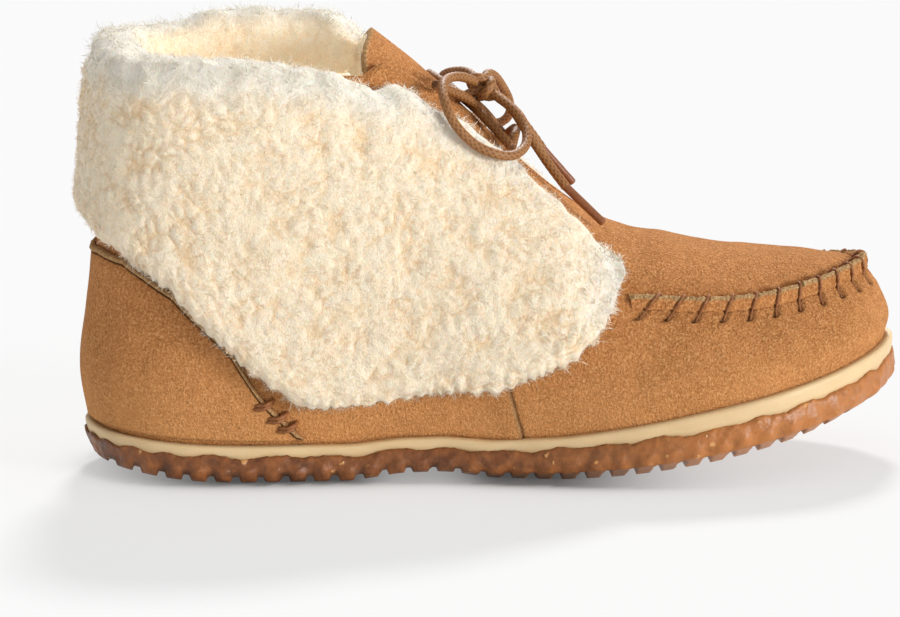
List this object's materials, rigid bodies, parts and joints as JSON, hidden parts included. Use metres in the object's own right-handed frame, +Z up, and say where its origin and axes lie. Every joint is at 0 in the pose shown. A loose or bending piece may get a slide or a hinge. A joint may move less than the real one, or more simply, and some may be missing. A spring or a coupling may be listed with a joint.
{
  "type": "moccasin ankle boot",
  "caption": "Right suede ankle moccasin boot with a thick folded fleece cuff, a gathered toe seam, a tied round lace and a lugged gum sole with a cream band.",
  "frame": {"origin": "on the floor under the middle of the heel, on the sole's heel tread", "axes": "+X to the toe, +Y to the inner side of the foot, +Z up"},
  "size_m": [0.2663, 0.0992, 0.1404],
  "materials": {
    "suede": "brushed, short nap",
    "suede_seam": "gathered raw edge",
    "fleece": "thick curly wool pile",
    "gum_rubber": "satin, marbled",
    "cream_rubber": "satin",
    "lace_cord": "waxed round braid",
    "aglet": "smooth"
  },
  "bodies": {
    "root": {"upper": "suede", "heel_counter": "suede", "tongue": "suede", "apron_seam": "suede_seam", "fleece_cuff": "fleece", "fleece_collar_lining": "fleece", "insole": "fleece", "outsole": "gum_rubber", "midsole": "cream_rubber", "lace_crossing": "lace_cord", "lace_knot": "lace_cord", "lace_loop_near": "lace_cord", "lace_loop_far": "lace_cord", "lace_end_near": "lace_cord", "lace_end_far": "lace_cord", "aglet_near": "aglet", "aglet_far": "aglet"}
  },
  "joints": []
}
